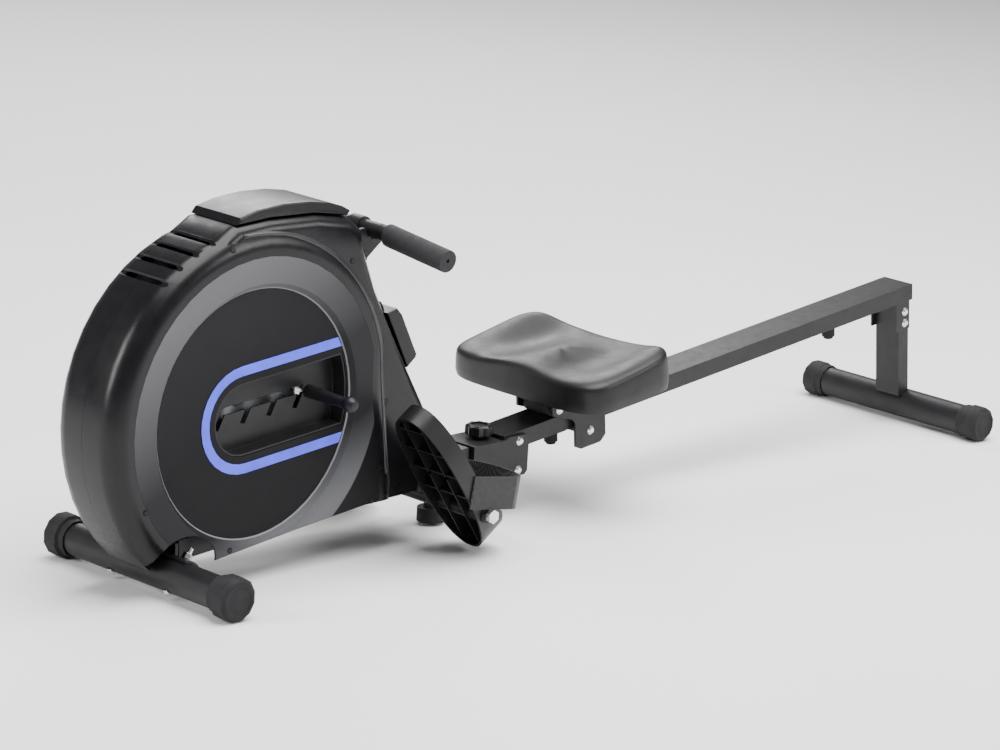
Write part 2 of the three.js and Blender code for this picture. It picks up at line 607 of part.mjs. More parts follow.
// Upright cheeks that carry the flywheel and the reel axles, standing on the beam
function drive() {
  const cheek = [
    [FLYWHEEL_X - 20, 70], [FLYWHEEL_X - 14, FLYWHEEL_Z + 14], [FLYWHEEL_X + 14, FLYWHEEL_Z + 18],
    [REEL_X - 14, REEL_Z + 18], [REEL_X + 16, REEL_Z + 14], [REEL_X + 16, 80], [REEL_X - 30, 80],
    [REEL_X - 30, REEL_Z - 60], [FLYWHEEL_X + 30, FLYWHEEL_Z - 40], [FLYWHEEL_X + 30, 70],
  ];
  const zBeam = (x) => BEAM_Z0 + BEAM_H / Math.cos(BEAM_SLOPE * DEG) + (x - BEAM_X0) * Math.tan(BEAM_SLOPE * DEG) + GAP;
  const foot = slab([
    [FLYWHEEL_X - 30, zBeam(FLYWHEEL_X - 30)], [REEL_X + 30, zBeam(REEL_X + 30)],
    [REEL_X + 30, zBeam(REEL_X + 30) + 5], [FLYWHEEL_X - 30, zBeam(FLYWHEEL_X - 30) + 5],
  ], -28, 28);
  const standing = slab(cheek, CHEEK_IN, CHEEK_IN + 4).intersect(slab([
    [-50, zBeam(-50) + 1], [500, zBeam(500) + 1], [500, 500], [-50, 500],
  ], -50, 50));
  const axleHoles = [
    bar(FLYWHEEL_X, FLYWHEEL_Z, 8 + GAP, -60, 60, 20),
    bar(REEL_X, REEL_Z, 8 + GAP, -60, 60, 20),
  ];
  add('flywheel_upright', cut(join(standing, foot), ...axleHoles), steel);
  add('reel_axle', bar(REEL_X, REEL_Z, 8, -28, 52, 20), chrome);

  const bore = 8 + 2 * GAP;
  const y0 = -FLYWHEEL_T;
  const wheel = turned([
    [bore, y0 - 6], [26, y0 - 6], [26, y0], [FLYWHEEL_R - 22, y0], [FLYWHEEL_R - 18, y0 - 8],
    [FLYWHEEL_R, y0 - 8], [FLYWHEEL_R, 8], [FLYWHEEL_R - 18, 8], [FLYWHEEL_R - 22, 2], [26, 2],
    [26, 11], [bore, 11], [bore, y0 - 6],
  ], FLYWHEEL_X, FLYWHEEL_Z, 28);
  const groove = (r, y) => [[r + 3, y - 2], [r + 3, y], [r, y], [r, y + BELT_W + 1], [r + 3, y + BELT_W + 1], [r + 3, y + BELT_W + 3]];
  const sheave = turned([
    [bore, BELT_Y - 3], ...groove(PULLEY_SMALL_R, BELT_Y - 1), [bore, BELT_Y + BELT_W + 2], [bore, BELT_Y - 3],
  ], FLYWHEEL_X, FLYWHEEL_Z, 18);
  const core = join(
    bar(FLYWHEEL_X, FLYWHEEL_Z, 8, -26, 52, 20),
    bar(FLYWHEEL_X, FLYWHEEL_Z, 11, y0 - 5, 10, 20),
    bar(FLYWHEEL_X, FLYWHEEL_Z, 11, BELT_Y - 2, BELT_Y + BELT_W + 1, 20),
  );
  add('flywheel', join(wheel, sheave, core), iron);
  add('drive_pulley', turned([
    [bore, BELT_Y - 3], ...groove(PULLEY_BIG_R, BELT_Y - 1), [bore, BELT_Y + BELT_W + 2], [bore, BELT_Y - 3],
  ], REEL_X, REEL_Z, 26), plastic);

  const span = Math.hypot(REEL_X - FLYWHEEL_X, REEL_Z - FLYWHEEL_Z);
  const lean = Math.atan2(REEL_Z - FLYWHEEL_Z, REEL_X - FLYWHEEL_X) / DEG;
  const open = Math.acos((PULLEY_SMALL_R - PULLEY_BIG_R) / span) / DEG;
  const loop = (extra) => [
    ...arc(FLYWHEEL_X, FLYWHEEL_Z, PULLEY_SMALL_R + extra, lean + open, lean + 360 - open, 20),
    ...arc(REEL_X, REEL_Z, PULLEY_BIG_R + extra, lean - open, lean + open, 28),
  ];
  add('drive_belt', cut(slab(loop(0.8 + BELT_T), BELT_Y, BELT_Y + BELT_W), slab(loop(0.8), 0, 90)), rubber);

  add('strap_reel', turned([
    [bore, -25], [REEL_R + 22, -25], [REEL_R + 22, -22], [REEL_R, -22], [REEL_R, 13], [REEL_R + 22, 13],
    [REEL_R + 22, 16], [bore, 16], [bore, -25],
  ], REEL_X, REEL_Z, 22), plastic);

  const yokeR = FLYWHEEL_R + 6;
  const yoke = [...arc(FLYWHEEL_X, FLYWHEEL_Z, yokeR + 8, 150, 205, 14), ...arc(FLYWHEEL_X, FLYWHEEL_Z, yokeR, 205, 150, 14)];
  const jaw = [...arc(FLYWHEEL_X, FLYWHEEL_Z, yokeR + 8, 150, 205, 14), ...arc(FLYWHEEL_X, FLYWHEEL_Z, FLYWHEEL_R - 14, 205, 150, 14)];
  add('magnet_yoke', join(slab(yoke, -20, 16), slab(jaw, -20, -16), slab(jaw, 12, 16)), steel);
}

function displayUnit() {
  const lean = Math.atan2(488 - 386, 399 - 208) / DEG;
  const seatOn = (body) => body.rotate([0, -lean, 0]).translate([434, 0, 318]);
  const back = slab([[1, -52], [22, -48], [26, -44], [26, 30], [22, 44], [1, 50]], -46, 46, 3, 0, 2);
  const lip = box(1, 9, -30, 30, 48, 62);
  const well = bar(0, 0, 9, -5, 5, 24).rotate([0, 0, 90]).translate([25, 0, -26]);
  add('console', cut(seatOn(cut(join(back, lip), well)), tailBlock()), plastic);
  const button = bar(0, 0, 8, -3, 4, 24).rotate([0, 0, 90]).translate([25, 0, -26]);
  add('console_button', seatOn(button), rubber);
}

function tailBlock() {
  return slab(tailEdge, -TAIL_HALF - 0.5, TAIL_HALF + 0.5, TAIL_RIM, -0.5, 3);
}

// Cradle the bar rests in, its floor sloping the way the handle is pulled
function handleHolder() {
  const r = BAR_R + GAP * 2;
  const prong = [
    [340, HANDLE_Z - 44], [372, HANDLE_Z - 44], [HANDLE_X + 17, HANDLE_Z - 20], [HANDLE_X + 17, HANDLE_Z - 9],
    ...arc(HANDLE_X, HANDLE_Z, r, -78, -190, 8), [HANDLE_X - r - 5, HANDLE_Z + 5], [340, HANDLE_Z + 2],
  ];
  const spine = box(352, 375, -34, 34, HANDLE_Z - 44, HANDLE_Z - 30);
  const body = join(slab(prong, 26, 33), slab(prong, -33, -26), spine);
  add('handle_holder', cut(body, tailBlock()), plastic);
  const [x, z] = [HANDLE_X, HANDLE_Z];
  const path = (y0, y1, r0) => {
    const from = new THREE.Vector3(x, y0, z);
    const to = new THREE.Vector3(x, y1, z - HANDLE_DROP);
    const length = from.distanceTo(to);
    const rod = new THREE.CylinderGeometry(r0, r0, length, 16);
    rod.translate(0, length / 2, 0);
    rod.applyQuaternion(new THREE.Quaternion().setFromUnitVectors(
      new THREE.Vector3(0, 1, 0), to.clone().sub(from).normalize()));
    return solid(rod.translate(from.x, from.y, from.z));
  };
  const knee = 50;
  const arm = path(knee, HANDLE_HALF - 3, BAR_R);
  const clampBand = bar(x, z, BAR_R + 4, -12, 12, 20);
  const eye = box(x - BAR_R - 8, x - BAR_R - 1, -12, 12, z - 5, z + 5);
  const knuckle = solid(new THREE.SphereGeometry(BAR_R, 14, 8).translate(x, knee, z));
  add('handle_bar', join(bar(x, z, BAR_R, -knee, knee, 16), arm, flip(arm), knuckle, flip(knuckle), clampBand, eye), steel);
  const sleeve = path(knee, HANDLE_HALF, GRIP_R).intersect(box(0, 900, GRIP_START, 300, 0, 900));
  const inside = cut(path(knee, HANDLE_HALF - 3, BAR_R + GAP));
  const grip = cut(sleeve, inside, join(inside, path(knee, HANDLE_HALF + 9, 3)));
  add('grip_right', grip, rubber);
  add('grip_left', flip(grip), rubber);

  const rollerX = 329;
  const rollerZ = HANDLE_Z - 17;
  const eyeX = x - BAR_R - 8 - GAP;
  const strap = [
    [eyeX, z - 3], [eyeX, z - 1], [rollerX, z - 1], [rollerX - 10, z - 4], [rollerX - 15.2, z - 14],
    [REEL_X - REEL_R + 41, REEL_Z + REEL_R + 6], [REEL_X - REEL_R + 43, REEL_Z + REEL_R + 5],
    [rollerX - 13.4, z - 14.4], [rollerX - 9, z - 5.8], [rollerX, z - 3],
  ];
  add('pull_strap', slab(strap, -11, 11), webbing);
  add('strap_guide', bar(rollerX, rollerZ - 0.5, 12.5, -24, 24, 24), chrome);
}

function pedal() {
  const w = PEDAL_HALF_W;
  const half = (PEDAL_TOE + PEDAL_HEEL) / 2;
  const round = (v) => Math.sign(v) * Math.abs(v) ** (2 / PEDAL_POWER);
  const edge = (inset) => arc(0, 0, 1, 0, 352, 44).map(([c, s]) => [
    (PEDAL_HEEL - PEDAL_TOE) / 2 + (half - inset) * round(c),
    (w - inset) * round(s),
  ]);
  const tray = (points, z0, z1) => slab(points, -z1, -z0).rotate([-90, 0, 0]);
  const ribs = [-18, 18].map((y) => (
    box(-PEDAL_TOE + 8, PEDAL_HEEL - 6, y - 1.5, y + 1.5, PEDAL_BACK + 4, PEDAL_FACE - 2)
  ));
  const crossed = Array.from({ length: 5 }, (_, i) => {
    const x = -170 + i * 42;
    return box(x - 1.5, x + 1.5, -w + 5, w - 5, PEDAL_BACK + 6, PEDAL_FACE - 2);
  });
  const lip = slab([
    [-16, PEDAL_FACE - 2], [80, PEDAL_FACE - 2], [80, PEDAL_FACE + HEEL_LIP], [26, PEDAL_FACE + HEEL_LIP],
  ], -90, 90);
  const heelWall = cut(tray(edge(0), PEDAL_FACE - 1, PEDAL_FACE + HEEL_LIP), tray(edge(4), -50, 80))
    .intersect(lip);
  const body = join(
    cut(tray(edge(0), PEDAL_BACK, PEDAL_FACE), tray(edge(3.5), PEDAL_BACK - 5, PEDAL_FACE - 4)),
    ...ribs.map((rib) => rib.intersect(tray(edge(1), -60, 60))),
    ...crossed.map((rib) => rib.intersect(tray(edge(1), -60, 60))),
    heelWall,
    bar(0, 0, 13, -w + 2, w - 2, 14),
    box(-13, 13, -w + 8, w - 8, 0, PEDAL_FACE - 1),
  );
  const slotX = -STRAP_AT;
  const slots = box(slotX - 36, slotX - 30, -w + 12, w - 12, PEDAL_FACE - 30, PEDAL_FACE + 30);
  return cut(body, slots, bar(0, 0, AXLE_R + GAP, -90, 90));
}

function strapLoop() {
  const w = PEDAL_HALF_W + 2 * GAP;
  const side = (r, low) => {
    const top = STRAP_RISE - w * 0.55;
    const crown = arc(0, 0, 1, 0, 180, 14).map(([c, s]) => [(w + r) * c, top + (w * 0.55 + r) * s]);
    return [[w + r, low], ...crown, [-w - r, low]];
  };
  const band = cut(slab(side(STRAP_T, -12), -STRAP_W / 2, STRAP_W / 2), slab(side(0, -13), -90, 90));
  return band.rotate([0, 0, 90]).rotate([0, STRAP_DROOP, 0]).translate([-STRAP_AT, 0, 0]);
}

function pedals() {
  const one = onPedal(pedal().translate([0, -PEDAL_Y, 0]));
  const loop = onPedal(strapLoop().translate([0, -PEDAL_Y, 0]));
  add('pedal_left', one, plastic);
  add('pedal_right', flip(one), plastic);
  add('foot_strap_left', loop, webbing);
  add('foot_strap_right', flip(loop), webbing);
  const nutIn = PEDAL_Y + PEDAL_HALF_W + 3.6;
  const rod = join(
    bar(PEDAL_X, PEDAL_Z, AXLE_R, -AXLE_HALF, AXLE_HALF, 24),
    bar(PEDAL_X, PEDAL_Z, 11, nutIn, nutIn + 8, 6),
    bar(PEDAL_X, PEDAL_Z, 11, -nutIn - 8, -nutIn, 6),
  );
  add('pedal_axle', rod, chrome);
}

frontFrame();
hingeBracket();
rail();
carriage();
housing();
lookThrough();
drive();
displayUnit();
handleHolder();
pedals();

// Centre the footprint: the origin is the middle of the bounding box at floor level
const bounds = new THREE.Box3().setFromObject(machine);
const middle = bounds.getCenter(new THREE.Vector3());
machine.children.forEach((mesh) => mesh.geometry.translate(-middle.x, -middle.y, -bounds.min.z));

export default machine;
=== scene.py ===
import json
import math

import bmesh
import bpy
from mathutils import Matrix, Vector
from mathutils.bvhtree import BVHTree


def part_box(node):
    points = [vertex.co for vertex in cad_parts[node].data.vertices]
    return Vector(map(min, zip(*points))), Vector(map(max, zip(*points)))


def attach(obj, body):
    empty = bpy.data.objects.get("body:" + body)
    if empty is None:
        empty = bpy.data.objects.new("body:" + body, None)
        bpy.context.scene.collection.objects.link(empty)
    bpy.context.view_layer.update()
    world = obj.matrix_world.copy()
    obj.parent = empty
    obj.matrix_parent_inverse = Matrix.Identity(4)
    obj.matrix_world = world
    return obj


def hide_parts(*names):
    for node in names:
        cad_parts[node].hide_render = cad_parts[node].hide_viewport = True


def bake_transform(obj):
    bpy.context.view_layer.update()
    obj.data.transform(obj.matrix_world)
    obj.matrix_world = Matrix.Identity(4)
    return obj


MM = 0.001
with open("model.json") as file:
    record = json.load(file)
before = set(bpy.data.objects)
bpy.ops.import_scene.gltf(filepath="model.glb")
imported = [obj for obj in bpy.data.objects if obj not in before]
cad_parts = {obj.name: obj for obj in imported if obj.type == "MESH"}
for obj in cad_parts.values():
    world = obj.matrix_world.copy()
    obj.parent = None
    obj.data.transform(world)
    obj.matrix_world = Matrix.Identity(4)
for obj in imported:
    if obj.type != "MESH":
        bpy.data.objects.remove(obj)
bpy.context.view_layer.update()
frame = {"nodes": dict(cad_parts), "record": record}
record = frame["record"]
scene = bpy.context.scene

BODY_OF = {n: b for b, nodes in record["behaviour"]["bodies"].items() for n in nodes}
SLOT_OF = {s["node"]: s["material_slot"] for s in record["subparts"]}

# Centre of the round side panels, and the outer radii of their disc and of the ring round it
HUB = Vector((-0.65175, 0, 0.252))
DISC_R = 187 * MM
RING_R = 237 * MM


# ---------------------------------------------------------------- camera
AZIMUTH, ELEVATION, ROLL = map(math.radians, (-46.1, 14.6, 3.5))
TARGET = Vector((-0.1106, -0.0227, 0.2240))
DISTANCE = 6.509


def make_camera():
    data = bpy.data.cameras.new("camera")
    data.lens = 152.5
    data.sensor_width = 36
    data.clip_end = 100
    camera = bpy.data.objects.new("camera", data)
    scene.collection.objects.link(camera)
    back = Vector((math.sin(AZIMUTH) * math.cos(ELEVATION),
                   -math.cos(AZIMUTH) * math.cos(ELEVATION), math.sin(ELEVATION)))
    right = Vector((math.cos(AZIMUTH), math.sin(AZIMUTH), 0))
    up = back.cross(right)
    tilted = right * math.cos(ROLL) + up * math.sin(ROLL)
    upward = up * math.cos(ROLL) - right * math.sin(ROLL)
    turn = Matrix((tilted, upward, back)).transposed().to_4x4()
    camera.matrix_world = Matrix.Translation(TARGET + back * DISTANCE) @ turn
    scene.camera = camera


make_camera()


# ---------------------------------------------------------------- materials
class Shader:
    """A Principled material whose colour, gloss and relief vary over the surface."""

    def __init__(self, name, **values):
        self.material = bpy.data.materials.new(name)
        self.material.use_nodes = True
        self.tree = self.material.node_tree
        self.bsdf = self.tree.nodes["Principled BSDF"]
        self.place = self.tree.nodes.new("ShaderNodeTexCoord").outputs["Object"]
        for socket, value in values.items():
            self.bsdf.inputs[socket.replace("_", " ")].default_value = value

    def link(self, a, b):
        self.tree.links.new(a, b)

    def noise(self, scale, detail=4.0, roughness=0.55, stretch=None):
        node = self.tree.nodes.new("ShaderNodeTexNoise")
        node.inputs["Scale"].default_value = scale
        node.inputs["Detail"].default_value = detail
        node.inputs["Roughness"].default_value = roughness
        self.link(self.stretched(stretch), node.inputs["Vector"])
        return node.outputs["Fac"]

    def stretched(self, stretch, turn=(0, 0, 0)):
        if stretch is None:
            return self.place
        node = self.tree.nodes.new("ShaderNodeMapping")
        node.inputs["Scale"].default_value = stretch
        node.inputs["Rotation"].default_value = turn
        self.link(self.place, node.inputs["Vector"])
        return node.outputs["Vector"]

    def cells(self, scale):
        node = self.tree.nodes.new("ShaderNodeTexVoronoi")
        node.inputs["Scale"].default_value = scale
        self.link(self.place, node.inputs["Vector"])
        return node.outputs["Distance"]

    def waves(self, scale, turn):
        node = self.tree.nodes.new("ShaderNodeTexWave")
        node.inputs["Scale"].default_value = scale
        node.inputs["Distortion"].default_value = 0.3
        self.link(self.stretched((1, 1, 1), turn), node.inputs["Vector"])
        return node.outputs["Fac"]

    def spread(self, source, low, high, socket):
        self.link(self.ranged(source, 0.3, 0.7, low, high), self.bsdf.inputs[socket])

    def colours(self, source, dark, light):
        node = self.tree.nodes.new("ShaderNodeValToRGB")
        node.color_ramp.elements[0].position = 0.3
        node.color_ramp.elements[1].position = 0.7
        node.color_ramp.elements[0].color = (*dark, 1)
        node.color_ramp.elements[1].color = (*light, 1)
        self.link(source, node.inputs["Fac"])
        self.link(node.outputs["Color"], self.bsdf.inputs["Base Color"])

    def times(self, a, b):
        node = self.tree.nodes.new("ShaderNodeMath")
        node.operation = "MULTIPLY"
        self.link(a, node.inputs[0])
        self.link(b, node.inputs[1])
        return node.outputs["Value"]

    def vector(self, operation, a, b=None, scale=None):
        node = self.tree.nodes.new("ShaderNodeVectorMath")
        node.operation = operation
        self.link(a, node.inputs[0])
        if b is not None:
            node.inputs[1].default_value = b
        if scale is not None:
            self.link(scale, node.inputs["Scale"])
        single = operation in ("LENGTH", "DOT_PRODUCT")
        return node.outputs["Value" if single else "Vector"]

    def ranged(self, source, start, end, low=0.0, high=1.0):
        node = self.tree.nodes.new("ShaderNodeMapRange")
        for socket, value in zip(("From Min", "From Max", "To Min", "To Max"), (start, end, low, high)):
            if isinstance(value, bpy.types.NodeSocket):
                self.link(value, node.inputs[socket])
            else:
                node.inputs[socket].default_value = value
        self.link(source, node.inputs["Value"])
        return node.outputs["Result"]

    def mixed(self, factor, a, b):
        node = self.tree.nodes.new("ShaderNodeMix")
        node.data_type = "RGBA"
        self.link(factor, node.inputs["Factor"])
        colours = [socket for socket in node.inputs if socket.type == "RGBA"]
        for socket, value in zip(colours, (a, b)):
            if isinstance(value, tuple):
                socket.default_value = (*value, 1)
            else:
                self.link(value, socket)
        return next(socket for socket in node.outputs if socket.type == "RGBA")

    def relief(self, source, depth, strength=0.5):
        node = self.tree.nodes.new("ShaderNodeBump")
        node.inputs["Strength"].default_value = strength
        node.inputs["Distance"].default_value = depth
        self.link(source, node.inputs["Height"])
        old = self.bsdf.inputs["Normal"]
        if old.is_linked:
            self.link(old.links[0].from_socket, node.inputs["Normal"])
        self.link(node.outputs["Normal"], old)


def shade(base, spread):
    return tuple(max(0.0, c * spread) for c in base)


def moulding(name, base, rough, grain=900.0, depth=0.00012, **values):
    look = Shader(name, **values)
    look.colours(look.noise(14), shade(base, 0.8), shade(base, 1.2))
    look.spread(look.noise(38), rough - 0.04, rough + 0.05, "Roughness")
    look.relief(look.noise(grain, 3), depth, 0.35)
    return look.material


def rubbery(name, base, grain=1400.0):
    look = Shader(name, Specular_IOR_Level=0.2)
    look.colours(look.noise(60), shade(base, 0.75), shade(base, 1.3))
    look.spread(look.noise(120), 0.62, 0.78, "Roughness")
    look.relief(look.cells(grain), 0.0002, 0.5)
    return look.material


def foam(name):
    look = Shader(name, Specular_IOR_Level=0.3)
    look.colours(look.cells(1100), (0.012, 0.012, 0.013), (0.032, 0.032, 0.034))
    look.spread(look.noise(90), 0.68, 0.85, "Roughness")
    look.relief(look.cells(700), 0.0004, 0.6)
    return look.material


def metal(name, base, rough, stretch):
    look = Shader(name, Metallic=1.0)
    look.colours(look.noise(70), shade(base, 0.86), shade(base, 1.06))
    look.spread(look.noise(220, 5, 0.6, stretch), rough - 0.05, rough + 0.08, "Roughness")
    look.relief(look.noise(400, 4, 0.6, stretch), 0.00008, 0.3)
    return look.material


def powder(name, base):
    look = Shader(name, Specular_IOR_Level=0.3)
    look.colours(look.noise(22), shade(base, 0.8), shade(base, 1.25))
    look.spread(look.noise(60), 0.38, 0.48, "Roughness")
    look.relief(look.noise(520, 2), 0.00016, 0.4)
    return look.material


def webbing(name):
    look = Shader(name, Sheen_Weight=0.25, Specular_IOR_Level=0.25)
    weave = look.times(look.waves(190, (0, 0, 0)), look.waves(150, (0, 0, math.pi / 2)))
    look.colours(weave, (0.008, 0.008, 0.009), (0.045, 0.045, 0.048))
    look.spread(look.noise(150), 0.75, 0.9, "Roughness")
    look.relief(weave, 0.0005, 0.7)
    return look.material


def grained(name, base):
    look = Shader(name, Specular_IOR_Level=0.32)
    look.colours(look.noise(30), shade(base, 0.8), shade(base, 1.25))
    look.spread(look.noise(45), 0.36, 0.46, "Roughness")
    look.relief(look.cells(420), 0.00022, 0.45)
    look.relief(look.noise(900, 3), 0.0001, 0.3)
    return look.material


def dished(name):
    """Satin side panel: a dark disc with a painted highlight towards its upper left, a grey ring with a
    painted sheen that makes it paler above and below, a black flank.
    """
    look = Shader(name, Specular_IOR_Level=0.12)
    near = look.vector("SUBTRACT", look.place, tuple(HUB))
    flat = look.vector("MULTIPLY", near, (1, 0, 1))
    radius = look.vector("LENGTH", flat)
    # Painted light: slope measures how far a point lies towards the upper left. It gives the disc a painted
    # highlight there, and gives the ring a painted sheen at the upper left and at the bottom.
    slope = look.vector("DOT_PRODUCT", near, (-0.45, 0, 0.89))
    high = look.ranged(slope, 0.0, 0.21)
    painted_sheen = look.ranged(slope, -0.12, -0.21, high)
    flakes = look.ranged(look.noise(1500, 2), 0.3, 0.7, 0.85, 1.15)
    # The ring's grey rises from dark to light where the painted sheen mask is high. The disc does the same
    # with the painted highlight mask.
    ring = look.mixed(painted_sheen, (0.016, 0.016, 0.018), (0.12, 0.12, 0.128))
    disc = look.mixed(high, (0.004, 0.004, 0.005), (0.014, 0.014, 0.016))
    edge = look.mixed(look.ranged(radius, DISC_R - 2 * MM, DISC_R - 1.6 * MM), disc, (0.2, 0.2, 0.21))
    inner = look.mixed(look.ranged(radius, DISC_R - 0.2 * MM, DISC_R + 0.2 * MM), edge, ring)
    flank = look.ranged(radius, RING_R - 0.5 * MM, RING_R + 1.5 * MM)
    whole = look.mixed(flank, inner, (0.005, 0.005, 0.006))
    look.link(look.vector("SCALE", whole, scale=flakes), look.bsdf.inputs["Base Color"])
    look.spread(look.noise(18), 0.36, 0.44, "Roughness")
    look.relief(look.noise(700, 2), 0.00006, 0.3)
    return look.material


LOOKS = {
    "painted_frame": powder("powder_coat", (0.010, 0.010, 0.011)),
    "handle_steel": powder("handle_coat", (0.010, 0.010, 0.011)),
    "bright_steel": metal("zinc_plate", (0.72, 0.73, 0.75), 0.24, (1, 6, 1)),
    "flywheel_iron": metal("turned_iron", (0.28, 0.29, 0.3), 0.42, (6, 1, 6)),
    "housing_black": moulding("housing_gloss", (0.004, 0.004, 0.005), 0.3, 700, 0.00008,
                              Specular_IOR_Level=0.28),
    "panel_grey": dished("panel_satin"),
    "inlay_blue": moulding("inlay_blue", (0.11, 0.13, 0.95), 0.5, 1100, 0.00005, Specular_IOR_Level=0.1),
    "trim_black": moulding("trim_satin", (0.008, 0.008, 0.009), 0.4, Specular_IOR_Level=0.3),
    "seat_black": grained("seat_skin", (0.008, 0.008, 0.009)),
    "pedal_black": moulding("pedal_satin", (0.008, 0.008, 0.009), 0.4, Specular_IOR_Level=0.3),
    "foot_rubber": rubbery("foot_rubber", (0.016, 0.016, 0.017)),
    "grip_foam": foam("grip_foam"),
    "webbing": webbing("webbing"),
}
SCREEN = Shader("display_glass", Coat_Weight=0.6, Coat_Roughness=0.05)
SCREEN.colours(SCREEN.noise(40), (0.10, 0.12, 0.115), (0.13, 0.155, 0.145))
SCREEN.spread(SCREEN.noise(80), 0.12, 0.2, "Roughness")
SCREEN.relief(SCREEN.noise(600), 0.00003, 0.2)
BAND = moulding("band_satin", (0.02, 0.02, 0.022), 0.36)
DARK = rubbery("recess_dark", (0.006, 0.006, 0.006), 900)


# ---------------------------------------------------------------- pieces
def link(name, mesh, material, body):
    piece = bpy.data.objects.new(name, mesh)
    scene.collection.objects.link(piece)
    mesh.materials.clear()
    mesh.materials.append(material)
    if body:
        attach(piece, body)
    return piece


def smooth_edges(bm, angle):
    for face in bm.faces:
        face.smooth = True
    for edge in bm.edges:
        edge.smooth = len(edge.link_faces) == 2 and edge.calc_face_angle(0) < math.radians(angle)


def copied(node, merge=0.00001):
    mesh = frame["nodes"][node].data.copy()
    bm = bmesh.new()
    bm.from_mesh(mesh)
    bmesh.ops.remove_doubles(bm, verts=bm.verts, dist=merge)
    for name in ("custom_normal", "sharp_face", "sharp_edge"):
        if name in mesh.attributes:
            mesh.attributes.remove(mesh.attributes[name])
    return mesh, bm


def softened(node, material=None, edge=0.6, angle=32):
    """The CAD piece with its edges rounded off a little and its curves shaded smoothly."""
    mesh, bm = copied(node)
    bmesh.ops.dissolve_limit(bm, angle_limit=math.radians(0.8), verts=bm.verts, edges=bm.edges)
    smooth_edges(bm, angle)
    bm.to_mesh(mesh)
    bm.free()
    slot = SLOT_OF[node]
    piece = link(f"{node}_finish", mesh, material or LOOKS[slot], BODY_OF[node])
    if edge:
        bevel = piece.modifiers.new("edges", "BEVEL")
        bevel.width = edge * MM
        bevel.segments = 2
        bevel.limit_method = "ANGLE"
        bevel.angle_limit = math.radians(angle)
    weight = piece.modifiers.new("normals", "WEIGHTED_NORMAL")
    weight.keep_sharp = True
    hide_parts(node)
    return piece


def strip(name, rows, thickness, material, body):
    """A thin sheet through a grid of points, thickened evenly to both sides."""
    bm = bmesh.new()
    grid = [[bm.verts.new(p) for p in row] for row in rows]
    for a, b in zip(grid, grid[1:]):
        for i in range(len(a) - 1):
            bm.faces.new((a[i], a[i + 1], b[i + 1], b[i]))
    bmesh.ops.recalc_face_normals(bm, faces=bm.faces)
    for face in bm.faces:
        face.smooth = True
    mesh = bpy.data.meshes.new(name)
    bm.to_mesh(mesh)
    bm.free()
    piece = link(name, mesh, material, body)
    solid = piece.modifiers.new("thickness", "SOLIDIFY")
    solid.thickness = thickness
    solid.offset = 0
    return piece


def lying_disc(name, centre, axis, radius, depth, material, body, sides=28):
    bm = bmesh.new()
    bmesh.ops.create_cone(bm, cap_ends=True, segments=sides, radius1=radius, radius2=radius, depth=depth)
    turn = Vector((0, 0, 1)).rotation_difference(Vector(axis)).to_matrix().to_4x4()
    bmesh.ops.transform(bm, matrix=Matrix.Translation(centre) @ turn, verts=bm.verts)
    smooth_edges(bm, 40)
    mesh = bpy.data.meshes.new(name)
    bm.to_mesh(mesh)
    bm.free()
    return link(name, mesh, material, body)


# Every visible CAD piece gets softened edges; these few are made in their own way below
OWN_WAY = {"seat_pad", "pull_strap"}
HIDDEN = {"flywheel", "drive_pulley", "strap_reel", "reel_axle", "flywheel_upright", "drive_belt",
          "magnet_yoke"}
EDGE = {"front_stabilizer": 0.3, "rear_stabilizer": 0.3, "blue_stripe": 0.2, "rail": 1.6, "rear_post": 1.4,
        "main_beam": 1.5, "housing_left": 0.8, "housing_right": 0.8, "top_hood": 1.2, "console": 1.2,
        "rail_end_cap": 0.8, "front_foot_left": 1.0, "front_foot_right": 1.0, "rear_foot_left": 1.0,
        "rear_foot_right": 1.0, "gate_tub": 0.4, "lever_knob": 0.4, "foot_strap_left": 0.4,
        "foot_strap_right": 0.4}
for name in frame["nodes"]:
    if name in OWN_WAY:
        continue
    if name in HIDDEN:
        node = frame["nodes"][name]
        for slot in node.material_slots:
            slot.material = LOOKS[SLOT_OF[name]]
        continue
    softened(name, edge=EDGE.get(name, 0.5))


# ---------------------------------------------------------------- moulded seat
def seat():
    mesh, bm = copied("seat_pad")
    bmesh.ops.join_triangles(bm, faces=bm.faces, angle_face_threshold=math.radians(50),
                             angle_shape_threshold=math.radians(70))
    smooth_edges(bm, 60)
    layer = bm.edges.layers.float.get("crease_edge") or bm.edges.layers.float.new("crease_edge")
    for edge in bm.edges:
        edge[layer] = 0.0 if edge.smooth else 0.75
    bm.to_mesh(mesh)
    bm.free()
    piece = link("seat_cushion", mesh, LOOKS["seat_black"], "seat")
    finer = piece.modifiers.new("finer", "SUBSURF")
    finer.levels = finer.render_levels = 2
    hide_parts("seat_pad")


seat()


# ---------------------------------------------------------------- webbing
STRAP_HALF = 11 * MM
STRAP_THICK = 1.8 * MM
STRAP_STEPS = 36


def pull_strap():
    """The band from the guide roller to the handle, laid as a straight strip; the real band pays out as the
    handle is pulled.
    """
    guide_low, guide_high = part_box("strap_guide")
    _, strap_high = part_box("pull_strap")
    height = strap_high[2] - STRAP_THICK / 2
    start = (guide_low[0] + guide_high[0]) / 2
    end = strap_high[0] + 1.5 * MM
    rows = []
    for i in range(STRAP_STEPS + 1):
        x = start + (end - start) * i / STRAP_STEPS
        rows.append([(x, y, height) for y in (-STRAP_HALF, -STRAP_HALF / 2, 0, STRAP_HALF / 2, STRAP_HALF)])
    piece = strip("pull_webbing", rows, STRAP_THICK, LOOKS["webbing"], None)
    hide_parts("pull_strap")
    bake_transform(piece)


pull_strap()


# ---------------------------------------------------------------- housing details
def tree_of(*nodes):
    bm = bmesh.new()
    for node in nodes:
        bm.from_mesh(frame["nodes"][node].data)
    tree = BVHTree.FromBMesh(bm)
    bm.free()
    return tree


SIDES = {"left": -1, "right": 1}
REACH = 0.3


